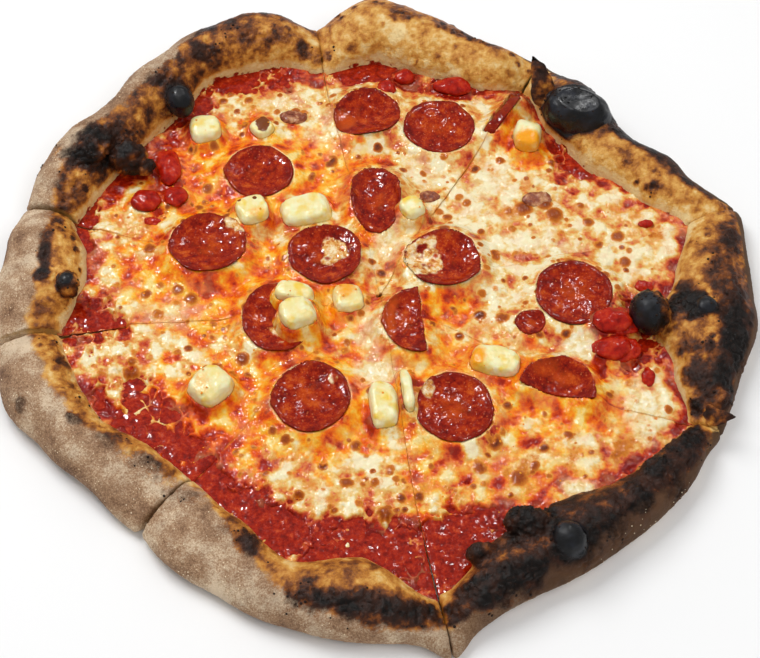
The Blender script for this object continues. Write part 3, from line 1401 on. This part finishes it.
def make_bits(name, places, material, slot, trees):
    """Small lumps resting on the cheese, given by place and size, in one piece."""
    bm = bmesh.new()
    for x, y, wide, deep, tall in places:
        ground = ground_under(trees, (x, y)) + 0.12 * tall
        place = Matrix.Translation(Vector((x + CROSSING[0], y + CROSSING[1], ground)) * MM)
        size = Matrix.Diagonal((wide / 2 * MM, deep / 2 * MM, tall / 2 * MM, 1.0))
        bmesh.ops.create_icosphere(bm, subdivisions=5, radius=1.0, matrix=place @ size)
    mesh = mesh_of(bm, name)
    swollen(mesh, 0.9 * clouds(points_of(mesh) / MM, 5.0, 85, 3))
    return add_piece(name, mesh, material, slot)


def scatter_tree(name, material):
    """A node tree that strews rounded grains over a mesh as thickly as its attribute says."""
    tree = bpy.data.node_groups.new(name, "GeometryNodeTree")
    face = tree.interface
    face.new_socket("Surface", in_out="INPUT", socket_type="NodeSocketGeometry")
    for label, start in (
        ("Grains per square metre", 1e5), ("Closest", 0.5 * MM), ("Smallest", 0.2 * MM),
        ("Largest", 0.5 * MM), ("Flatness", 0.5),
    ):
        face.new_socket(label, in_out="INPUT", socket_type="NodeSocketFloat").default_value = start
    face.new_socket("Seed", in_out="INPUT", socket_type="NodeSocketInt")
    face.new_socket("Grains", in_out="OUTPUT", socket_type="NodeSocketGeometry")

    def added(kind, **settings):
        node = tree.nodes.new(kind)
        for setting, value in settings.items():
            setattr(node, setting, value)
        return node

    given = added("NodeGroupInput").outputs
    where = added("GeometryNodeInputNamedAttribute", data_type="FLOAT")
    where.inputs["Name"].default_value = "strewn"
    strew = added("GeometryNodeDistributePointsOnFaces", distribute_method="POISSON")
    size = added("FunctionNodeRandomValue", data_type="FLOAT")
    flat = added("ShaderNodeCombineXYZ")
    flat.inputs["X"].default_value = 1.0
    flat.inputs["Y"].default_value = 1.0
    scale = added("ShaderNodeVectorMath", operation="SCALE")
    ball = added("GeometryNodeMeshIcoSphere")
    ball.inputs["Radius"].default_value = 1.0
    ball.inputs["Subdivisions"].default_value = 2
    place = added("GeometryNodeInstanceOnPoints")
    real = added("GeometryNodeRealizeInstances")
    finish = added("GeometryNodeSetMaterial")
    finish.inputs["Material"].default_value = material
    result = added("NodeGroupOutput")
    for source, socket in (
        (given["Surface"], strew.inputs["Mesh"]),
        (given["Closest"], strew.inputs["Distance Min"]),
        (given["Grains per square metre"], strew.inputs["Density Max"]),
        (where.outputs["Attribute"], strew.inputs["Density Factor"]),
        (given["Seed"], strew.inputs["Seed"]),
        (given["Smallest"], size.inputs["Min"]),
        (given["Largest"], size.inputs["Max"]),
        (given["Seed"], size.inputs["Seed"]),
        (given["Flatness"], flat.inputs["Z"]),
        (flat.outputs["Vector"], scale.inputs["Vector"]),
        (size.outputs["Value"], scale.inputs["Scale"]),
        (strew.outputs["Points"], place.inputs["Points"]),
        (strew.outputs["Rotation"], place.inputs["Rotation"]),
        (ball.outputs["Mesh"], place.inputs["Instance"]),
        (scale.outputs["Vector"], place.inputs["Scale"]),
        (place.outputs["Instances"], real.inputs["Geometry"]),
        (real.outputs["Geometry"], finish.inputs["Geometry"]),
        (finish.outputs["Geometry"], result.inputs["Grains"]),
    ):
        tree.links.new(source, socket)
    return tree


def strew(name, surface, material, slot, **sizes):
    """Strews grains over a surface mesh in one piece, with the node tree's inputs by name."""
    tree = scatter_tree(name, material)
    blank = blank_object(surface)
    modifier = blank.modifiers.new("Strewn", "NODES")
    modifier.node_group = tree
    for socket in tree.interface.items_tree:
        key = socket.name.replace(" ", "_")
        if socket.in_out == "INPUT" and key in sizes:
            modifier[socket.identifier] = sizes[key]
    mesh = plain_mesh(blank)
    set_points(mesh, points_of(mesh))
    return add_piece(name, mesh, material, slot)


def joined_surface(prefix, where_of):
    """The meshes of some pieces in one, with how thickly grains lie on each place."""
    bm = bmesh.new()
    for piece in bpy.context.scene.objects:
        if piece.name.startswith(prefix):
            bm.from_mesh(piece.data)
    mesh = mesh_of(bm, prefix)
    paint(mesh, strewn=where_of(points_of(mesh), normals_of(mesh)))
    return mesh


def bead_places(points, normals):
    """How thickly drops of oil stand: on the cheese's oily places."""
    flat = mm(points)
    oil = patches(flat, OIL_POOLS, 0.6, 1.2, 53) * (0.3 + 0.7 * ease(clouds(flat, 12.0, 101, 2) * 3.0))
    return oil * ease((normals[:, 2] - 0.6) / 0.3)


def crumb_places(points, normals):
    """How thickly burnt crumbs lie: on the scorched places of the rim."""
    flat = mm(points)
    char = patches(flat, SCORCHES, 0.6, 1.2, 11) * ease(clouds(flat, 10.0, 102, 3) * 3.0 + 0.2)
    return char * ease((points[:, 2] / MM - 8.0) / 3.0) * ease((normals[:, 2] + 0.2) / 0.4)


def flour_places(points, _):
    """How thickly flour lies: on the outer side of the rim."""
    flat = mm(points)
    angle, radius = polar(flat)
    wall = ease((radius - along_rim(angle, SHOULDER) - 2.0) / 6.0)
    height = points[:, 2] / MM
    return wall * ease((height - 2.0) / 3.0) * (0.15 + 0.85 * ease(clouds(flat, 14.0, 103, 3) * 2.0 + 0.3))


# Operators, panel and settings


class PizzaLook(bpy.types.PropertyGroup):
    """Grain and colours of the pizza's surfaces."""

    crust_grain: bpy.props.FloatProperty(
        name="Crust grain", description="Size of the faces on the crust", default=0.85 * MM,
        min=0.4 * MM, unit="LENGTH",
    )
    sauce_grain: bpy.props.FloatProperty(
        name="Sauce grain", description="Size of the faces on the sauce", default=1.0 * MM,
        min=0.4 * MM, unit="LENGTH",
    )
    cheese_grain: bpy.props.FloatProperty(
        name="Cheese grain", description="Size of the faces on the cheese", default=0.55 * MM,
        min=0.3 * MM, unit="LENGTH",
    )
    topping_grain: bpy.props.FloatProperty(
        name="Topping grain", description="Size of the faces on the toppings", default=0.45 * MM,
        min=0.2 * MM, unit="LENGTH",
    )
    dough_colour: bpy.props.FloatVectorProperty(
        name="Dough", description="Colour of lightly baked dough", default=(0.84, 0.63, 0.31),
        min=0.0, max=1.0, subtype="COLOR_GAMMA",
    )
    flour_colour: bpy.props.FloatVectorProperty(
        name="Flour", description="Colour of the grains of flour", default=(0.95, 0.91, 0.82),
        min=0.0, max=1.0, subtype="COLOR_GAMMA",
    )
    sauce_colour: bpy.props.FloatVectorProperty(
        name="Sauce", description="Colour of the tomato sauce", default=(0.65, 0.15, 0.04),
        min=0.0, max=1.0, subtype="COLOR_GAMMA",
    )
    cheese_colour: bpy.props.FloatVectorProperty(
        name="Cheese", description="Colour of thick melted cheese", default=(0.93, 0.88, 0.72),
        min=0.0, max=1.0, subtype="COLOR_GAMMA",
    )
    oil_colour: bpy.props.FloatVectorProperty(
        name="Oil", description="Colour of cheese under orange oil", default=(0.94, 0.59, 0.06),
        min=0.0, max=1.0, subtype="COLOR_GAMMA",
    )
    pepperoni_colour: bpy.props.FloatVectorProperty(
        name="Pepperoni", description="Colour of the meat of the pepperoni", default=(0.63, 0.16, 0.02),
        min=0.0, max=1.0, subtype="COLOR_GAMMA",
    )
    soft_cheese_colour: bpy.props.FloatVectorProperty(
        name="Soft cheese", description="Colour of the lumps of soft cheese", default=(0.92, 0.90, 0.72),
        min=0.0, max=1.0, subtype="COLOR_GAMMA",
    )
    tomato_colour: bpy.props.FloatVectorProperty(
        name="Tomato", description="Colour of the pieces of tomato", default=(0.66, 0.10, 0.03),
        min=0.0, max=1.0, subtype="COLOR_GAMMA",
    )


class PizzaStage(bpy.types.PropertyGroup):
    """View and light of the stage."""

    camera_distance: bpy.props.FloatProperty(
        name="Camera distance", description="How far the camera is from the pizza", default=0.9,
        min=0.3, unit="LENGTH",
    )
    camera_elevation: bpy.props.FloatProperty(
        name="Camera elevation", description="How steeply the camera looks down",
        default=math.radians(55.3), min=0.0, max=math.radians(89.0), subtype="ANGLE",
    )
    camera_lens: bpy.props.FloatProperty(
        name="Lens", description="Focal length on a sensor 36 mm wide", default=95.9, min=10.0,
        unit="CAMERA",
    )
    sky_strength: bpy.props.FloatProperty(
        name="Sky", description="Strength of the soft light from all round", default=0.44, min=0.0,
    )


class PIZZA_OT_crusts(bpy.types.Operator):
    """Builds the eight scorched and floury crusts"""

    bl_idname = "pizza.crusts"
    bl_label = "Crusts"

    def execute(self, context):
        look = context.scene.pizza_look
        material = dough_material(look)
        skin = charred_skin_material()
        for index in SLICES:
            make_crust(index, material, skin, look)
        crusts = [piece for piece in context.scene.objects if piece.name.startswith("crust_")]
        make_torn_tips(material, [tree_of(piece.data) for piece in crusts])
        return {"FINISHED"}


class PIZZA_OT_toppings(bpy.types.Operator):
    """Builds the pepperoni, the cubes of soft cheese and the pieces of tomato"""

    bl_idname = "pizza.toppings"
    bl_label = "Toppings"

    def execute(self, context):
        look = context.scene.pizza_look
        for maker, count, material in (
            (make_pepperoni, 15, pepperoni_material(look)),
            (make_cube, 13, soft_cheese_material(look)),
            (make_tomato, 8, tomato_material(look)),
        ):
            for number in range(1, count + 1):
                maker(number, material, look)
        return {"FINISHED"}


class PIZZA_OT_sauce(bpy.types.Operator):
    """Spreads the sauce on the eight slices"""

    bl_idname = "pizza.sauce"
    bl_label = "Sauce"

    def execute(self, context):
        look = context.scene.pizza_look
        material = sauce_material(look)
        for index in SLICES:
            make_sauce(index, material, look)
        return {"FINISHED"}


class PIZZA_OT_cheese(bpy.types.Operator):
    """Melts the cheese over the sauce and up to the toppings"""

    bl_idname = "pizza.cheese"
    bl_label = "Cheese"

    def execute(self, context):
        look = context.scene.pizza_look
        material = cheese_material(look)
        toppings = found_toppings(context.scene.objects)
        for index in SLICES:
            make_cheese(index, material, look, toppings)
        return {"FINISHED"}


class PIZZA_OT_bits(bpy.types.Operator):
    """Lays small bits of tomato and pepperoni on the cheese"""

    bl_idname = "pizza.bits"
    bl_label = "Small bits"

    def execute(self, context):
        pieces = [piece for piece in context.scene.objects if piece.name.startswith("cheese_")]
        trees = [tree_of(piece.data) for piece in pieces if "slice" not in piece.name]
        red = tomato_material(context.scene.pizza_look)
        make_bits("tomato_bits", TOMATO_BITS, red, "tomato", trees)
        make_bits("pepperoni_bits", PEPPERONI_BITS, browned_bit_material(), "pepperoni", trees)
        return {"FINISHED"}


class PIZZA_OT_strewn(bpy.types.Operator):
    """Strews oil beads, charred crumbs and grains of flour"""

    bl_idname = "pizza.strewn"
    bl_label = "Beads, crumbs and flour"

    def execute(self, context):
        oil = grain_material(
            "orange_oil", 3.0, (0.92, 0.50, 0.06), (0.90, 0.66, 0.20), 0.10,
            Specular_IOR_Level=0.35, Subsurface_Weight=0.1, Subsurface_Scale=0.001,
        )
        charcoal = grain_material(
            "charred_crumbs", 4.0, (0.07, 0.05, 0.05), (0.20, 0.13, 0.09), 0.6,
            Specular_IOR_Level=0.2,
        )
        flour = grain_material(
            "flour_grains", 3.0, context.scene.pizza_look.flour_colour, (0.86, 0.76, 0.60), 0.8,
            Specular_IOR_Level=0.2,
        )
        strew(
            "oil_beads", joined_surface("cheese_", bead_places), oil, "melted_cheese",
            Grains_per_square_metre=4.0e4, Closest=1.0 * MM, Smallest=0.2 * MM, Largest=0.6 * MM,
            Flatness=0.45, Seed=1,
        )
        strew(
            "charred_crumbs", joined_surface("crust_", crumb_places), charcoal, "baked_crust",
            Grains_per_square_metre=1.0e5, Closest=1.2 * MM, Smallest=0.25 * MM, Largest=0.7 * MM,
            Flatness=0.8, Seed=2,
        )
        strew(
            "flour_grains", joined_surface("crust_", flour_places), flour, "baked_crust",
            Grains_per_square_metre=1.2e5, Closest=1.2 * MM, Smallest=0.12 * MM, Largest=0.32 * MM,
            Flatness=0.8, Seed=3,
        )
        return {"FINISHED"}


class PIZZA_OT_stage(bpy.types.Operator):
    """Sets the table, the lights and the camera"""

    bl_idname = "pizza.stage"
    bl_label = "Table, lights and camera"

    def execute(self, context):
        lay_table(context.scene)
        light_scene(context.scene)
        aim_camera(context.scene)
        return {"FINISHED"}


CAMERA_TARGET = Vector((1.9, -12.0, 0.0)) * MM
TABLE_HALF_WIDTH = 4.0

# Name, place, width and power of each lamp, and whether it shows only in reflections. The others
# show in none.
LAMPS = (
    ("key", (-0.50, 0.45, 1.15), 0.80, 11.0, False),
    ("fill", (0.7, -0.5, 1.2), 1.00, 6.5, False),
    ("spark", (-0.62, 0.42, 1.05), 0.10, 9.0, True),
    ("second_spark", (0.30, 0.75, 1.05), 0.08, 2.5, True),
)


def place_in(scene, name, data, place, back):
    """An object of the stage that looks away from the direction back."""
    holder = bpy.data.objects.new(name, data)
    holder.location = place
    holder.rotation_euler = (-back).to_track_quat("-Z", "Y").to_euler()
    scene.collection.objects.link(holder)
    return holder


def lay_table(scene):
    """A wide pale table under the pizza."""
    bm = bmesh.new()
    bmesh.ops.create_grid(bm, x_segments=1, y_segments=1, size=TABLE_HALF_WIDTH)
    floor = mesh_of(bm, "table")
    white = bpy.data.materials.new("pale_table")
    white.use_nodes = True
    shader = white.node_tree.nodes["Principled BSDF"]
    shader.inputs["Base Color"].default_value = (0.9, 0.9, 0.9, 1.0)
    shader.inputs["Roughness"].default_value = 0.9
    floor.materials.append(white)
    table = bpy.data.objects.new("table", floor)
    scene.collection.objects.link(table)


def light_scene(scene):
    """A soft sky, and lamps that stand in the directions they shine from."""
    world = bpy.data.worlds.new("soft_sky")
    world.use_nodes = True
    sky = world.node_tree.nodes["Background"]
    sky.inputs["Color"].default_value = (1.0, 1.0, 1.0, 1.0)
    sky.inputs["Strength"].default_value = scene.pizza_stage.sky_strength
    scene.world = world
    scene.view_settings.view_transform = "Standard"
    for name, place, size, power, glossy in LAMPS:
        light = bpy.data.lights.new(name, "AREA")
        light.size = size
        light.energy = power
        lamp = place_in(scene, name, light, place, Vector(place))
        lamp.visible_glossy = glossy
        lamp.visible_diffuse = not glossy


def aim_camera(scene):
    """Looks down at the pizza from the front."""
    stage = scene.pizza_stage
    camera = bpy.data.cameras.new("camera")
    camera.lens = stage.camera_lens
    camera.sensor_width = 36.0
    back = Vector((0.0, -math.cos(stage.camera_elevation), math.sin(stage.camera_elevation)))
    place = CAMERA_TARGET + back * stage.camera_distance
    scene.camera = place_in(scene, "camera", camera, place, back)


OPERATORS = (
    PIZZA_OT_crusts, PIZZA_OT_toppings, PIZZA_OT_sauce, PIZZA_OT_cheese, PIZZA_OT_bits,
    PIZZA_OT_strewn, PIZZA_OT_stage,
)


class PIZZA_PT_panel(bpy.types.Panel):
    """Lists the steps that build the pizza"""

    bl_idname = "PIZZA_PT_panel"
    bl_label = "Pizza"
    bl_space_type = "VIEW_3D"
    bl_region_type = "UI"
    bl_category = "Pizza"

    def draw(self, context):
        for group in (context.scene.pizza_look, context.scene.pizza_stage):
            for name in group.bl_rna.properties.keys():
                if name not in {"rna_type", "name"}:
                    self.layout.prop(group, name)
        for operator in OPERATORS:
            self.layout.operator(operator.bl_idname)


CLASSES = (PizzaLook, PizzaStage, *OPERATORS, PIZZA_PT_panel)


def register():
    for cls in CLASSES:
        bpy.utils.register_class(cls)
    bpy.types.Scene.pizza_look = bpy.props.PointerProperty(type=PizzaLook)
    bpy.types.Scene.pizza_stage = bpy.props.PointerProperty(type=PizzaStage)


def unregister():
    del bpy.types.Scene.pizza_stage
    del bpy.types.Scene.pizza_look
    for cls in reversed(CLASSES):
        bpy.utils.unregister_class(cls)


def main():
    """Builds the pizza and its stage."""
    register()
    bpy.ops.pizza.crusts()
    bpy.ops.pizza.toppings()
    bpy.ops.pizza.sauce()
    bpy.ops.pizza.cheese()
    bpy.ops.pizza.bits()
    bpy.ops.pizza.strewn()
    bpy.ops.pizza.stage()


if __name__ == "__main__":
    main()
